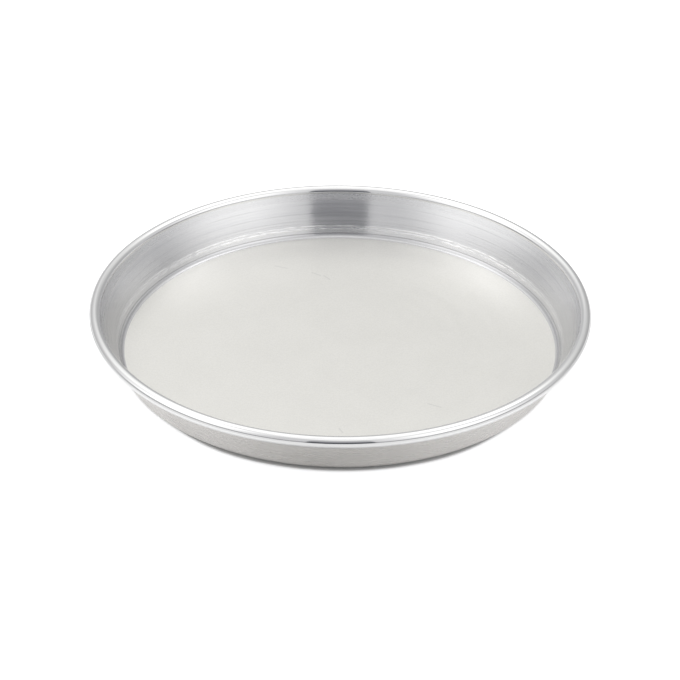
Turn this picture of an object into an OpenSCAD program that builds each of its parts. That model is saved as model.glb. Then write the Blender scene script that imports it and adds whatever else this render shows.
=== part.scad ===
// Deep dish pan: one round sheet of aluminium spun into a shallow tapered pan,
// with its rim rolled outwards round a hoop of steel wire.
// Sizes are in millimetres. The origin is at the middle of the underside, with +Z up.

/* [Pan] */
// Inside width at the top, across the bead
top_d = 355.6; // [345:0.1:400]
// Inside width of the floor, to the sharp corner with the foot band
floor_d = 328.2; // [300:0.1:340]
// Height over all
pan_h = 38.1; // [28:0.1:76.2]
// Thickness of the sheet
sheet_t = 1.4; // [1:0.1:2]

/* [Foot] */
// Inside radius where the floor turns up into the foot band
corner_r = 3.6; // [1.5:0.1:5]
// Height of the foot band above the floor
foot_h = 8.5; // [6:0.1:12]
// Lean of the foot band from upright, in degrees
foot_lean = 17; // [10:1:24]

/* [Rim] */
// Thickness of the wire in the rim
wire_d = 5.2; // [3.2:0.1:6.4]
// Room between the wire and the sheet rolled round it
wire_room = 0.25; // [0.1:0.05:0.4]
// Angle of the crease where the wall meets the bead, in degrees
crease = 33; // [20:1:40]
// Gap between the cut edge of the bead and the wall behind it
tuck_gap = 0.15; // [0.1:0.05:0.4]
// Gap between the two butted ends of the wire
wire_butt = 1.5; // [0.5:0.1:4]

/* [Hidden] */
$fn = 180;
corner_steps = 8;

function heading(a, b) = atan2(b.y - a.y, b.x - a.x);
function along(angle) = [cos(angle), sin(angle)];

// The bead: a round hollow that holds the wire, inside one thickness of sheet
hollow_r = wire_d / 2 + wire_room;
bead_r = hollow_r + sheet_t;
curl_r = (hollow_r + bead_r) / 2;
bead_mid = [top_d / 2 + bead_r, pan_h - bead_r];

// The foot band rises from the floor, and ends in a bend, seen from inside and outside
foot_heading = 90 - foot_lean;
foot_in = [floor_d / 2, sheet_t] + foot_h * [tan(foot_lean), 1];

// The wall rises from the bend and passes the bead's centre at wall_reach, its inner face
// wall_reach + sheet_t / 2 away, so that it runs into the curled sheet at the crease angle
wall_reach = curl_r * cos(crease);
inner_reach = wall_reach + sheet_t / 2;
outer_reach = wall_reach - sheet_t / 2;
wall_heading = heading(foot_in, bead_mid) + asin(inner_reach / norm(bead_mid - foot_in));
bend = wall_heading - foot_heading;
foot_out = foot_in - sheet_t / cos(bend / 2) * along(foot_heading + bend / 2 + 90);

// The curl starts where the wall meets it, runs over the top and down round the outside,
// and stops where the sheet's cut edge comes within the tuck gap of the wall
wall_side = wall_heading + 90;
curl_start = wall_side + crease;
curl_end = wall_side - 360 + acos((outer_reach - tuck_gap) / bead_r);

// Points of the rounded corner between the floor and the foot band
corner_mid = [floor_d / 2 - corner_r * tan(foot_heading / 2), sheet_t + corner_r];
function corner_arc(radius) = [
    for (i = [0:corner_steps])
        corner_mid + radius * along(-90 + foot_heading * i / corner_steps)
];
function reversed(points) = [for (i = [len(points) - 1:-1:0]) points[i]];

// Half section of the floor, the foot band and the wall
module wall_section() {
    wall_top_out = bead_mid + outer_reach * along(wall_side);
    wall_top_in = bead_mid + inner_reach * along(wall_side);
    outside = concat([[0, 0]], corner_arc(corner_r + sheet_t), [foot_out, wall_top_out]);
    inside = concat([[0, sheet_t]], corner_arc(corner_r), [foot_in, wall_top_in]);
    polygon(concat(outside, reversed(inside)));
}

// Slice of a disc, from the curl's start round to its cut edge
module curl_section() {
    steps = 12;
    turn = (curl_end - curl_start) / steps;
    fan = [for (i = [0:steps]) 2 * bead_r * along(curl_start + turn * i)];
    intersection() {
        circle(r = bead_r);
        polygon(concat([[0, 0]], fan));
    }
}

module pan_shell() {
    color("silver") rotate_extrude() difference() {
        union() {
            wall_section();
            translate(bead_mid) curl_section();
        }
        translate(bead_mid) circle(r = hollow_r);
    }
}

module rim_wire() {
    butt_angle = 2 * asin(wire_butt / 2 / bead_mid.x);
    color("dimgray") rotate([0, 0, 90 + butt_angle / 2])
        rotate_extrude(angle = 360 - butt_angle)
            translate(bead_mid) circle(d = wire_d);
}

pan_shell();
rim_wire();
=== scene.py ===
import math

import bpy
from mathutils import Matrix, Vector


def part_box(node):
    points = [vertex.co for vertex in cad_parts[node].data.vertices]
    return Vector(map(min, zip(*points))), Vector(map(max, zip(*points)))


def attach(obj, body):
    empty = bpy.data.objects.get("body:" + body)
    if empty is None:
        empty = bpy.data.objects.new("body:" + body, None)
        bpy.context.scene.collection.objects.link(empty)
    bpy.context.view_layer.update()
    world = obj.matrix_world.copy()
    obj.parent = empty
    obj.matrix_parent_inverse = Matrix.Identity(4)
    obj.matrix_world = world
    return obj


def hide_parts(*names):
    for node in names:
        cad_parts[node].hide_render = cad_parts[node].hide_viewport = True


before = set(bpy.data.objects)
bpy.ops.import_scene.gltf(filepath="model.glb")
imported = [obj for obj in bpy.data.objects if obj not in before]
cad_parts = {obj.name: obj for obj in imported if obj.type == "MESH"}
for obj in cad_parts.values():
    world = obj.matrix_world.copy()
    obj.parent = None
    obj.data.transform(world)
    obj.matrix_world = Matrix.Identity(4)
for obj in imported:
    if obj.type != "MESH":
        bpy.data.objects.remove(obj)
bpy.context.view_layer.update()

# The camera: a long lens in front of the pan and well above it, rolled a touch, as a pan is
# photographed for a shop. It looks just above the middle of the underside.
camera_distance = 1.804
camera_height_angle = math.radians(31.65)
camera_raise = 0.00174
camera_roll = 0.0093
lens_in_pixels = 2400
picture_width = 680
sensor_width = 36
farthest_seen = 50

camera_data = bpy.data.cameras.new("studio_camera")
camera_data.sensor_width = sensor_width
camera_data.lens = lens_in_pixels * sensor_width / picture_width
camera_data.clip_end = farthest_seen
camera = bpy.data.objects.new("studio_camera", camera_data)
camera.location = (
    0,
    -camera_distance * math.cos(camera_height_angle),
    camera_distance * math.sin(camera_height_angle),
)
camera.rotation_mode = "ZYX"
camera.rotation_euler = (math.pi / 2 - camera_height_angle + camera_raise, 0, camera_roll)
bpy.context.scene.collection.objects.link(camera)
bpy.context.scene.camera = camera
bpy.context.scene.view_settings.view_transform = "Standard"


# The room: white all round for the lens. The metal sees a room that is bright above and darker
# down to the horizon, with a grey front, a soft box on each side, a strip light high up behind
# each box, and the dark gap that the camera stands in.
white = (1, 1, 1, 1)
black = (0, 0, 0, 1)
white_in_metal = 0.05
room_low = (0.60, 0.60, 0.605, 1)
room_high = (1.42, 1.42, 1.40, 1)
room_heights = (14, 54)
overhead_grey = (1.15, 1.15, 1.15, 1)
overhead_heights = (70, 84)

# The back of the room loses some of its light towards the right. The first two pairs are parts
# of the direction, to the right and to the back, and the loss ends between the two heights
right_back_loss = 0.22
right_back_from_middle = (-0.15, 0.20)
right_back_from_side = (0.0, 0.3)
right_back_heights = (36, 52)

# Each window of the room: its turns from the camera round to the right, its heights above the
# horizon, and the softness of its edges in both, all in degrees
front_grey = (0.73, 0.73, 0.74, 1)
front = ((-110, 110), (-10, 70), (14, 12))
front_low_grey = (0.42, 0.42, 0.43, 1)
front_low = ((-110, 110), (-10, 7), (14, 3))
box_white = (1.40, 1.40, 1.395, 1)
left_box = ((-106, -44), (11, 62), (18, 7))
right_box = ((30, 82), (11, 60), (20, 7))
strip_white = (2.2, 2.2, 2.19, 1)
left_strip = ((-155, -105), (50, 68), (12, 5))
right_strip = ((105, 155), (50, 68), (12, 5))
gap_dark = (0.06, 0.065, 0.085, 1)
gap = ((-13.6, 15.0), (-60, 36), (0.5, 30))


def add_node(tree, kind, inputs=None, **settings):
    """A new shader node, with its settings, and with a value or a link for each input."""
    node = tree.nodes.new("ShaderNode" + kind)
    for name, value in settings.items():
        setattr(node, name, value)
    for name, value in (inputs or {}).items():
        if isinstance(value, bpy.types.NodeSocket):
            tree.links.new(value, node.inputs[name])
        else:
            node.inputs[name].default_value = value
    return node


def math_node(tree, operation, *values):
    """The result of a Math node."""
    return add_node(tree, "Math", dict(enumerate(values)), operation=operation).outputs[0]


def ramp_between(tree, value, low, high, low_result=0.0, high_result=1.0):
    """A smooth step from one result to another while value goes from low to high."""
    inputs = {"Value": value, "From Min": low, "From Max": high}
    inputs.update({"To Min": low_result, "To Max": high_result})
    return add_node(tree, "MapRange", inputs, interpolation_type="SMOOTHSTEP").outputs["Result"]


def mix_colours(tree, share, first, second):
    """The mix of two colours: the first at share 0, the second at share 1."""
    # A Mix node gives its sockets for numbers and for colours the same names, so these go by place
    inputs = {0: share, 6: first, 7: second}
    return add_node(tree, "Mix", inputs, data_type="RGBA").outputs[2]


world = bpy.data.worlds.new("white_studio")
world.use_nodes = True
bpy.context.scene.world = world
room = world.node_tree
room.nodes.clear()
direction = add_node(room, "TexCoord").outputs["Generated"]
right, back, up = add_node(room, "SeparateXYZ", {0: direction}).outputs
turn = math_node(room, "ARCTAN2", right, math_node(room, "MULTIPLY", back, -1.0))
turn = math_node(room, "DEGREES", turn)
height = math_node(room, "DEGREES", math_node(room, "ARCSINE", up))


def soft_band(value, low, high, softness):
    """1 while a turn or a height is between low and high and 0 beyond, with soft edges."""
    rise = ramp_between(room, value, low - softness, low + softness)
    fall = ramp_between(room, value, high - softness, high + softness, 1.0, 0.0)
    return math_node(room, "MULTIPLY", rise, fall)


def soft_window(turns_seen, heights_seen, softness):
    """1 within a window of the room and 0 outside it, with soft edges."""
    side_by_side = soft_band(turn, *turns_seen, softness[0])
    low_to_high = soft_band(height, *heights_seen, softness[1])
    return math_node(room, "MULTIPLY", side_by_side, low_to_high)


room_colour = mix_colours(room, ramp_between(room, height, *room_heights), room_low, room_high)
loss = ramp_between(room, right, *right_back_from_middle, 0.0, right_back_loss)
loss = math_node(room, "MULTIPLY", loss, ramp_between(room, back, *right_back_from_side))
low_down = ramp_between(room, height, *right_back_heights, 1.0, 0.0)
loss = math_node(room, "MULTIPLY", loss, low_down)
room_colour = mix_colours(room, loss, room_colour, black)
overhead = ramp_between(room, height, *overhead_heights)
room_colour = mix_colours(room, overhead, room_colour, overhead_grey)
for window, colour in (
    (front, front_grey),
    (left_box, box_white),
    (right_box, box_white),
    (front_low, front_low_grey),
    (left_strip, strip_white),
    (right_strip, strip_white),
    (gap, gap_dark),
):
    room_colour = mix_colours(room, soft_window(*window), room_colour, colour)


def seen_as(tree, in_lens, in_metal):
    """One value for what the lens sees, another for what metal or glass shows, and 0 for light."""
    path = add_node(tree, "LightPath").outputs
    mirrored = math_node(tree, "MAXIMUM", path["Is Glossy Ray"], path["Is Transmission Ray"])
    mirrored = math_node(tree, "MULTIPLY", mirrored, in_metal)
    return math_node(tree, "MULTIPLY_ADD", path["Is Camera Ray"], in_lens, mirrored)


seen_colour = mix_colours(room, seen_as(room, 1.0, white_in_metal), room_colour, white)
background = add_node(room, "Background", {"Color": seen_colour, "Strength": 1.0})
add_node(room, "OutputWorld", {"Surface": background.outputs[0]})


# The studio floor: a seamless white paper that keeps the pan's contact shadow, darkest in the
# narrow gap under the rounded corner, where a painted shadow darkens the paper's own colour. Away
# from the pan it is lifted to white for the lens and, as a painted glow, less for the metal that
# mirrors it, in which the glow ends a little way out.
paper_size = 14
paper_drop = 0.0002
paper_white = (0.86, 0.86, 0.86, 1)
# Painted shadow: the paper's own colour turns darker near the pan's foot
paper_in_painted_shadow = (0.52, 0.52, 0.52, 1)
painted_shadow_radii = (0.1640, 0.1684)
shadow_edge = (0.1655, 0.1692)
glow_white = (0.975, 0.985, 1.0, 1)
lift_for_lens = 0.55

# The painted shadow in the gap and the real shadow reach side_shift further out at the front, where
# the way out from the pan's axis leads towards the lens, than at the sides and the back
front_share = (0.66, 0.92)
side_shift = 0.0035

# In metal, the paper carries a painted glow that brightens towards the soft boxes, from lift_middle
# to lift_reach each way, and the glow ends between the two radii of lift_ends
lift_for_metal = (0.05, 0.32)
lift_middle = -0.006
lift_reach = 0.14
lift_ends = (0.21, 0.26)


def object_place(tree):
    """The place of a point, in the coordinates of its object."""
    return add_node(tree, "TexCoord").outputs["Object"]


def coordinate(tree, place, axis):
    """One coordinate of a place."""
    return add_node(tree, "SeparateXYZ", {0: place}).outputs[axis]


def vector_node(tree, operation, inputs):
    """The outputs of a Vector Math node: Vector, and Value where the result is a number."""
    return add_node(tree, "VectorMath", inputs, operation=operation).outputs


def flattened(tree, place):
    """A place with its height taken out."""
    return vector_node(tree, "MULTIPLY", {0: place, 1: (1, 1, 0)})["Vector"]


def from_axis(tree, place):
    """How far a place is from the pan's axis."""
    return vector_node(tree, "LENGTH", {0: flattened(tree, place)})["Value"]


bpy.ops.object.select_all(action="DESELECT")
bpy.ops.mesh.primitive_plane_add(size=paper_size, location=(0, 0, -paper_drop))
studio_floor = bpy.context.object
studio_floor.name = "studio_floor"
floor_paper = bpy.data.materials.new("floor_paper")
floor_paper.use_nodes = True
paper = floor_paper.node_tree
paper.nodes.clear()
place = object_place(paper)
radius = from_axis(paper, place)
towards_lens = math_node(paper, "MULTIPLY", coordinate(paper, place, "Y"), -1.0)
towards_lens = math_node(paper, "DIVIDE", towards_lens, radius)
at_side = ramp_between(paper, towards_lens, *front_share, 1.0, 0.0)
radius = math_node(paper, "MULTIPLY_ADD", at_side, side_shift, radius)
sideways = math_node(paper, "SUBTRACT", coordinate(paper, place, "X"), lift_middle)
sideways = math_node(paper, "ABSOLUTE", sideways)
lens_lift = ramp_between(paper, radius, *shadow_edge, 0.0, lift_for_lens)
# A painted glow that only metal sees, brighter to the sides
metal_lift = ramp_between(paper, sideways, 0.0, lift_reach, *lift_for_metal)
near_pan = ramp_between(paper, radius, *lift_ends, 1.0, 0.0)
metal_lift = math_node(paper, "MULTIPLY", metal_lift, near_pan)
lift = seen_as(paper, lens_lift, metal_lift)
# Painted shadow: the paper darkens towards the pan's foot
out_of_painted_shadow = ramp_between(paper, radius, *painted_shadow_radii)
paper_colour = mix_colours(paper, out_of_painted_shadow, paper_in_painted_shadow, paper_white)
matt_white = add_node(paper, "BsdfDiffuse", {"Color": paper_colour})
glow = add_node(paper, "Emission", {"Color": glow_white, "Strength": lift})
both = add_node(paper, "AddShader", {0: matt_white.outputs[0], 1: glow.outputs[0]})
add_node(paper, "OutputMaterial", {"Surface": both.outputs[0]})
studio_floor.data.materials.append(floor_paper)


# The wire hoop: one length of drawn steel wire, bent into a ring with its two ends butted. It
# lies inside the rolled edge, where it keeps the rim round and stiff.
wire_pale = (0.56, 0.56, 0.55, 1)
wire_dark = (0.40, 0.40, 0.39, 1)
wire_roughness = (0.25, 0.45)
wire_streaks = 900
fine_detail = 3.0

# Most noise lies between these two values
noise_core = (0.3, 0.7)


def bare_metal(name):
    """A bare metal material, with its tree and its shader."""
    material = bpy.data.materials.new(name)
    material.use_nodes = True
    shader = material.node_tree.nodes["Principled BSDF"]
    shader.inputs["Metallic"].default_value = 1.0
    return material, material.node_tree, shader


def noise(tree, place, scale, detail=2.0):
    """Noise at a place, with about scale features for each unit of length."""
    inputs = {"Vector": place, "Scale": scale, "Detail": detail}
    return add_node(tree, "TexNoise", inputs).outputs[0]


def drive(tree, shader, values):
    """Links each value to the shader's socket of that name."""
    for name, value in values.items():
        tree.links.new(value, shader.inputs[name])


drawn_wire, tree, shader = bare_metal("drawn_steel_wire")
streaks = noise(tree, object_place(tree), wire_streaks, fine_detail)
drive(
    tree,
    shader,
    {
        "Base Color": mix_colours(tree, streaks, wire_dark, wire_pale),
        "Roughness": ramp_between(tree, streaks, *noise_core, *wire_roughness),
    },
)
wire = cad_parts["rim_wire"]
wire.data.materials.clear()
wire.data.materials.append(drawn_wire)


# The pan: one round blank of soft aluminium sheet, spun over a former on a lathe into a floor, a
# rounded corner, a narrow foot band and a tapered wall. Its edge is then rolled outwards and
# back round the wire, and tucked close to the wall.
sheet = 0.0014
floor_radius = 0.1641
corner_radius = 0.0036
foot_height = 0.0085
foot_lean = math.radians(17)
wall_flare = math.radians(9)
hollow_radius = 0.00285
crease = math.radians(33)
tuck_gap = 0.00015
cut_edge_rounding = 0.0003
cut_edge_steps = 2
cut_edge_angle = math.radians(60)
rows_on_floor = 10
rows_on_corner = 10
rows_on_foot = 5
rows_on_wall = 20
rows_on_bead = 44
columns_round = 256
same_place = sheet / 1000
close_by = sheet / 100

_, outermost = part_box("pan_shell")
bead_radius = hollow_radius + sheet
bead_x = outermost.x - bead_radius
bead_z = outermost.z - bead_radius

# Where the rounded corner and the foot band start and end, and which way the foot band rises
foot_rise = math.pi / 2 - foot_lean
corner_reach = corner_radius * math.tan(foot_rise / 2)
corner_x = floor_radius - corner_reach
foot_start_x = floor_radius + corner_reach * math.sin(foot_lean)
foot_start_z = sheet + corner_reach * math.cos(foot_lean)
foot_top_x = floor_radius + foot_height * math.tan(foot_lean)
foot_top_z = sheet + foot_height

# The wall rises from there past the bead's centre, its middle wall_reach and its inner face
# inner_reach away, and runs into the bead at the crease
wall_reach = (hollow_radius + bead_radius) / 2 * math.cos(crease)
inner_reach = wall_reach + sheet / 2
outer_reach = wall_reach - sheet / 2
to_bead_x = bead_x - foot_top_x
to_bead_z = bead_z - foot_top_z
to_bead = math.hypot(to_bead_x, to_bead_z)
wall_rise = math.atan2(to_bead_z, to_bead_x) + math.asin(inner_reach / to_bead)

# The bead starts where the wall's inner face meets it, and runs over the top and round to the
# tuck gap behind the wall
wall_side = wall_rise + math.pi / 2
bead_start = wall_side + math.acos(inner_reach / bead_radius)
bead_end = wall_side - 2 * math.pi + math.acos((outer_reach - tuck_gap) / bead_radius)
wall_top_x = bead_x + bead_radius * math.cos(bead_start)
wall_top_z = bead_z + bead_radius * math.sin(bead_start)

# The sheet springs back a little as it leaves the former, so the wall flares in one long arc
wall_length = math.hypot(wall_top_x - foot_top_x, wall_top_z - foot_top_z)
flare_radius = wall_length / 2 / math.sin(wall_flare / 2)
flare_start = wall_rise + wall_flare / 2
flare_x = foot_top_x + flare_radius * math.sin(flare_start)
flare_z = foot_top_z - flare_radius * math.cos(flare_start)


def extrude_run(length_x, length_z, steps):
    """Extrudes the selected end of the section in a straight run."""
    move = {"value": (length_x / steps, 0, length_z / steps)}
    for step in range(steps):
        bpy.ops.mesh.extrude_vertices_move(TRANSFORM_OT_translate=move)


def extrude_bend(middle_x, middle_z, angle, steps):
    """Carries the selected end of the section round a bend, upwards where angle is positive."""
    bpy.ops.mesh.spin(
        steps=steps, angle=angle, center=(middle_x, 0, middle_z), axis=(0, 1, 0)
    )


# The section of the sheet's upper face is drawn out from one point, in the middle of the floor
bpy.ops.object.select_all(action="DESELECT")
bpy.ops.mesh.primitive_plane_add(size=sheet, location=(0, 0, sheet))
pan = bpy.context.object
pan.name = "spun_pan"
bpy.ops.object.transform_apply(location=True)
bpy.ops.object.mode_set(mode="EDIT")
bpy.ops.mesh.select_mode(type="VERT")
bpy.ops.mesh.merge(type="CENTER")
extrude_run(corner_x, 0, rows_on_floor)
extrude_bend(corner_x, sheet + corner_radius, foot_rise, rows_on_corner)
extrude_run(foot_top_x - foot_start_x, foot_top_z - foot_start_z, rows_on_foot)
extrude_bend(flare_x, flare_z, -wall_flare, rows_on_wall)
extrude_bend(bead_x, bead_z, bead_end - bead_start, rows_on_bead)

# The section is spun round the pan's axis, and the floor's faces are turned up
bpy.ops.mesh.select_all(action="SELECT")
bpy.ops.mesh.spin(steps=columns_round, angle=2 * math.pi, center=(0, 0, 0), axis=(0, 0, 1))
bpy.ops.mesh.select_all(action="SELECT")
bpy.ops.mesh.remove_doubles(threshold=same_place)
bpy.ops.mesh.normals_make_consistent(inside=False)
bpy.ops.mesh.select_all(action="DESELECT")
bpy.ops.object.mode_set(mode="OBJECT")
middle_face = min(pan.data.polygons, key=lambda face: face.center.length)
if middle_face.normal.z < 0:
    pan.data.flip_normals()

# The two crisp lines that the spinning tool leaves: where the foot band ends, and under the bead
for edge in pan.data.edges:
    ends = [pan.data.vertices[i].co for i in edge.vertices]
    for line_x, line_z in ((foot_top_x, foot_top_z), (wall_top_x, wall_top_z)):
        misses = [math.hypot(math.hypot(end.x, end.y) - line_x, end.z - line_z) for end in ends]
        edge.use_edge_sharp |= max(misses) < close_by
bpy.ops.object.shade_smooth(keep_sharp_edges=True)

# The sheet gets its thickness behind that face, and then a rounded cut edge
thickness = pan.modifiers.new("sheet_thickness", "SOLIDIFY")
thickness.thickness = sheet
thickness.offset = -1
thickness.use_even_offset = True
bpy.ops.object.modifier_apply(modifier=thickness.name)
rounding = pan.modifiers.new("cut_edge_rounding", "BEVEL")
rounding.width = cut_edge_rounding
rounding.segments = cut_edge_steps
rounding.limit_method = "ANGLE"
rounding.angle_limit = cut_edge_angle
bpy.ops.object.modifier_apply(modifier=rounding.name)
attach(pan, "root")
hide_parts("pan_shell")


# The mill finish: the floor and the underside keep the matt grain of the rolled blank, crossed by
# faint rings from the lathe. A few short nicks lie in the floor, each from its start to its end.
mill_pale = (0.805, 0.797, 0.768, 1)
mill_grey = (0.752, 0.744, 0.715, 1)
mill_roughness = (0.31, 0.39)
grain_scale = 900
grain_share = 0.75
grain_depth = 0.00002
grain_strength = 0.25
cloud_scale = 25
cloud_share = 0.25
line_grey = (0.36, 0.36, 0.37, 1)
nicks = (
    ((-0.0225, 0.1050), (-0.0160, 0.1005)),
    ((-0.0130, 0.1000), (-0.0085, 0.0945)),
    ((-0.0520, 0.1150), (-0.0425, 0.1115)),
    ((0.0640, -0.0830), (0.0730, -0.0875)),
    ((0.0000, -0.1165), (0.0025, -0.1215)),
)
nick_reach = 0.0011
nick_share = 0.22

# The pattern of the rings: its features to a radian round the pan, and to a metre across them
mill_rings = (2, 700)

# Nearly all noise lies between these two values
noise_span = (0.25, 0.75)


def turned_noise(tree, around, across, detail=2.0):
    """Noise drawn out into rings, with around features to a radian round the pan, and across
    features to a metre outwards or upwards."""
    place = object_place(tree)
    spoke = vector_node(tree, "NORMALIZE", {0: flattened(tree, place)})["Vector"]
    wide = vector_node(tree, "SCALE", {0: spoke, "Scale": around})["Vector"]
    along = math_node(tree, "ADD", from_axis(tree, place), coordinate(tree, place, "Z"))
    along = math_node(tree, "MULTIPLY", along, across)
    along = add_node(tree, "CombineXYZ", {"Z": along}).outputs[0]
    turned_place = vector_node(tree, "ADD", {0: wide, 1: along})["Vector"]
    return noise(tree, turned_place, 1.0, detail)


def added_up(tree, *patterns):
    """The sum of patterns, each multiplied by its own amount."""
    total = 0.0
    for pattern, amount in patterns:
        total = math_node(tree, "MULTIPLY_ADD", pattern, amount, total)
    return total


def dented(tree, pattern, depth=1.0, strength=1.0):
    """The surface's direction when a pattern dents it. A pattern in metres needs no depth."""
    inputs = {"Height": pattern, "Distance": depth, "Strength": strength}
    return add_node(tree, "Bump", inputs).outputs[0]


def on_nick(tree, place, start, end):
    """nick_share on the line of a nick, falling to 0 at nick_reach from it."""
    start = Vector((*start, sheet))
    run = Vector((*end, sheet)) - start
    from_start = vector_node(tree, "SUBTRACT", {0: place, 1: start})["Vector"]
    share = vector_node(tree, "DOT_PRODUCT", {0: from_start, 1: run / run.length_squared})["Value"]
    share = add_node(tree, "Clamp", {"Value": share}).outputs[0]
    nearest = vector_node(tree, "SCALE", {0: run, "Scale": share})["Vector"]
    miss = vector_node(tree, "DISTANCE", {0: from_start, 1: nearest})["Value"]
    return ramp_between(tree, miss, 0.0, nick_reach, nick_share, 0.0)


mill_finish, tree, shader = bare_metal("mill_finish")
place = object_place(tree)
grain = noise(tree, place, grain_scale, fine_detail)
clouds = noise(tree, place, cloud_scale)
rings = turned_noise(tree, *mill_rings)
mottle = added_up(tree, (grain, grain_share), (clouds, cloud_share))
colour = mix_colours(tree, ramp_between(tree, mottle, *noise_core), mill_grey, mill_pale)
for start, end in nicks:
    colour = mix_colours(tree, on_nick(tree, place, start, end), colour, line_grey)
drive(
    tree,
    shader,
    {
        "Base Color": colour,
        "Roughness": ramp_between(tree, rings, *noise_span, *mill_roughness),
        "Normal": dented(tree, grain, grain_depth, grain_strength),
    },
)


# The burnished wall: with the pan turning on the lathe, the tool rubs the inside of the foot band
# and the wall bright in fine and broad rings. Its chatter breaks up the ridge and the ripple that
# it leaves at the top of the foot band, on which a painted highlight lies. Painted shade darkens
# the rounded corner and the groove above it.
wall_pale = (0.735, 0.735, 0.74, 1)
wall_grey = (0.685, 0.685, 0.695, 1)
wall_roughness = (0.19, 0.27)
wall_anisotropy = 0.97
quarter_turn = 0.25
foot_pale = (0.79, 0.79, 0.80, 1)
foot_top_softness = 0.0004
# A painted highlight, broken by the chatter, along the ridge and the ripple, besides their real
# relief
crest_painted_highlight = (0.96, 0.96, 0.965, 1)
ripple_polish = 0.08

# The patterns, as for the mill finish, with the shares of the rings in the colour and roughness and
# how deep they go
fine_rings_pattern = (3, 1400)
fine_rings_share = 0.5
fine_rings_depth = 0.000012
broad_rings_pattern = (1.5, 260)
broad_rings_share = 0.5
broad_rings_depth = 0.00002
chatter_pattern = (22, 700)
chatter_range = (0.38, 0.62)
chatter_leaves = (0.2, 1.0)

# The ridge and the ripple below it: the height up the pan and half the width of each, and how far
# it stands out
ridge = (foot_top_z, 0.0009)
ridge_height = 0.00013
ripple = (0.0078, 0.0016)
ripple_height = 0.00015

# The dark lines: a groove at the top of the rounded corner, real in its relief and darkened with
# painted shade, painted shade over the rounded corner itself, and four ring marks that fade in and
# out round the pan. A share is how far each turns to line_grey
groove = (0.0041, 0.0008)
groove_depth = 0.00008
groove_painted_shade_share = 0.65
shade = (0.0022, 0.0019)
shade_share = 0.6
ring_marks = ((0.0194, 0.0007), (0.0142, 0.0006), (0.0121, 0.0005), (0.0259, 0.0005))
ring_mark_depth = 0.00003
ring_mark_share = 0.2
fading_pattern = (5, 60)
fading_range = (0.4, 0.6)
fading_leaves = (0.15, 1.0)

# The rougher run below the bead starts between these heights
rough_run = (0.0285, 0.0300)
rough_run_gain = 0.10
speckle_pattern = (150, 1500)


def ring_at(tree, level, middle, half_width):
    """1 on a ring at one level of the pan, falling to 0 at half_width to each side."""
    rise = ramp_between(tree, level, middle - half_width, middle)
    fall = ramp_between(tree, level, middle, middle + half_width, 1.0, 0.0)
    return math_node(tree, "MULTIPLY", rise, fall)


burnished_wall, tree, shader = bare_metal("burnished_wall")
level = coordinate(tree, object_place(tree), "Z")
fine_rings = turned_noise(tree, *fine_rings_pattern, fine_detail)
broad_rings = turned_noise(tree, *broad_rings_pattern)
rings = added_up(tree, (fine_rings, fine_rings_share), (broad_rings, broad_rings_share))
chatter = ramp_between(tree, turned_noise(tree, *chatter_pattern), *chatter_range, *chatter_leaves)
on_ridge = math_node(tree, "MULTIPLY", ring_at(tree, level, *ridge), chatter)
on_ripple = math_node(tree, "MULTIPLY", ring_at(tree, level, *ripple), chatter)
on_groove = ring_at(tree, level, *groove)
on_shade = ring_at(tree, level, *shade)
on_marks = added_up(tree, *((ring_at(tree, level, *mark), 1.0) for mark in ring_marks))
fading = ramp_between(tree, turned_noise(tree, *fading_pattern), *fading_range, *fading_leaves)
on_marks = math_node(tree, "MULTIPLY", on_marks, fading)
relief = added_up(
    tree,
    (fine_rings, fine_rings_depth),
    (broad_rings, broad_rings_depth),
    (on_ridge, ridge_height),
    (on_ripple, ripple_height),
    (on_groove, -groove_depth),
    (on_marks, -ring_mark_depth),
)
# Painted shade in the groove and over the corner, with the ring marks
dark_lines_and_painted_shade = added_up(
    tree, (on_groove, groove_painted_shade_share), (on_shade, shade_share), (on_marks, ring_mark_share)
)
foot_top_heights = (foot_top_z - foot_top_softness, foot_top_z + foot_top_softness)
on_foot = ramp_between(tree, level, *foot_top_heights, 1.0, 0.0)
colour = mix_colours(tree, ramp_between(tree, rings, *noise_core), wall_grey, wall_pale)
colour = mix_colours(tree, on_foot, colour, foot_pale)
# Painted highlight on the ridge and the ripple
colour = mix_colours(tree, math_node(tree, "MAXIMUM", on_ridge, on_ripple), colour, crest_painted_highlight)
speckle = turned_noise(tree, *speckle_pattern)
worn = math_node(tree, "MULTIPLY", ramp_between(tree, level, *rough_run), speckle)
roughness = ramp_between(tree, rings, *noise_span, *wall_roughness)
roughness = math_node(tree, "MULTIPLY_ADD", on_ripple, -ripple_polish, roughness)
roughness = math_node(tree, "MULTIPLY_ADD", worn, rough_run_gain, roughness)
shader.inputs["Anisotropic"].default_value = wall_anisotropy
shader.inputs["Anisotropic Rotation"].default_value = quarter_turn
drive(
    tree,
    shader,
    {
        "Base Color": mix_colours(tree, dark_lines_and_painted_shade, colour, line_grey),
        "Roughness": roughness,
        "Normal": dented(tree, relief),
        "Tangent": add_node(tree, "Tangent", direction_type="RADIAL", axis="Z").outputs[0],
    },
)


# The satin outside: the outside of the foot band and the wall isn't burnished. It keeps the satin
# look of the spun sheet, with fine rings, broad patches and a slight bloom.
outside_pale = (0.752, 0.736, 0.715, 1)
outside_grey = (0.727, 0.711, 0.69, 1)
outside_roughness = (0.26, 0.30)
outside_rings_pattern = (5, 700)
outside_rings_depth = 0.00001
outside_rings_strength = 0.05
patches_pattern = (5, 25)
patches_share = 0.8
bloom_scale = 500
bloom_share = 0.2

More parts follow.
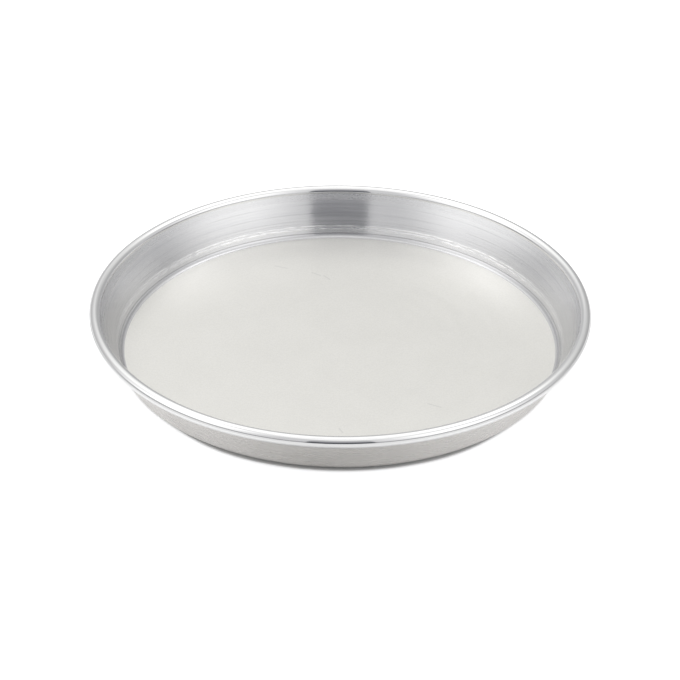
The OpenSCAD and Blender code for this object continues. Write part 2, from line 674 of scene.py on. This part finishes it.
satin_outside, tree, shader = bare_metal("satin_outside")
rings = turned_noise(tree, *outside_rings_pattern)
patches = turned_noise(tree, *patches_pattern)
bloom = noise(tree, object_place(tree), bloom_scale)
mottle = added_up(tree, (bloom, bloom_share), (patches, patches_share))
drive(
    tree,
    shader,
    {
        "Base Color": mix_colours(
            tree, ramp_between(tree, mottle, *noise_core), outside_grey, outside_pale
        ),
        "Roughness": ramp_between(tree, rings, *noise_span, *outside_roughness),
        "Normal": dented(tree, rings, outside_rings_depth, outside_rings_strength),
    },
)


# The rubbed bead: the rolled rim is rubbed smooth and bright. Round its outside lies a painted
# reflection, a thin dark line that stands for the dark horizon mirrored in the bead.
bead_pale = (0.81, 0.81, 0.81, 1)
bead_grey = (0.775, 0.775, 0.78, 1)
bead_roughness = (0.05, 0.09)
bead_rings_pattern = (4, 1800)
bead_rings_depth = 0.00001
bead_rings_strength = 0.3

# The painted line's height up the pan and half its width
painted_horizon_line = (0.0354, 0.0006)
painted_horizon_line_share = 0.6

rubbed_bead, tree, shader = bare_metal("rubbed_bead")
place = object_place(tree)
outer_half = ramp_between(tree, from_axis(tree, place), bead_x, bead_x + bead_radius / 2)
# A painted reflection: a dark line round the bead's outer half
on_painted_horizon_line = ring_at(tree, coordinate(tree, place, "Z"), *painted_horizon_line)
on_painted_horizon_line = math_node(tree, "MULTIPLY", on_painted_horizon_line, outer_half)
on_painted_horizon_line = math_node(tree, "MULTIPLY", on_painted_horizon_line, painted_horizon_line_share)
rings = turned_noise(tree, *bead_rings_pattern)
colour = mix_colours(tree, ramp_between(tree, rings, *noise_core), bead_grey, bead_pale)
drive(
    tree,
    shader,
    {
        "Base Color": mix_colours(tree, on_painted_horizon_line, colour, line_grey),
        "Roughness": ramp_between(tree, rings, *noise_span, *bead_roughness),
        "Normal": dented(tree, rings, bead_rings_depth, bead_rings_strength),
    },
)

# Each face of the pan takes its finish by its place and by whether it looks outwards
finishes = [mill_finish, burnished_wall, satin_outside, rubbed_bead]
for finish in finishes:
    pan.data.materials.append(finish)
for face in pan.data.polygons:
    face_radius = math.hypot(face.center.x, face.center.y)
    from_bead = math.hypot(face_radius - bead_x, face.center.z - bead_z)
    outwards = face.center.x * face.normal.x + face.center.y * face.normal.y
    if face_radius < corner_x:
        finish = mill_finish
    elif from_bead < bead_radius + close_by:
        finish = rubbed_bead
    elif outwards > 0:
        finish = satin_outside
    else:
        finish = burnished_wall
    face.material_index = finishes.index(finish)
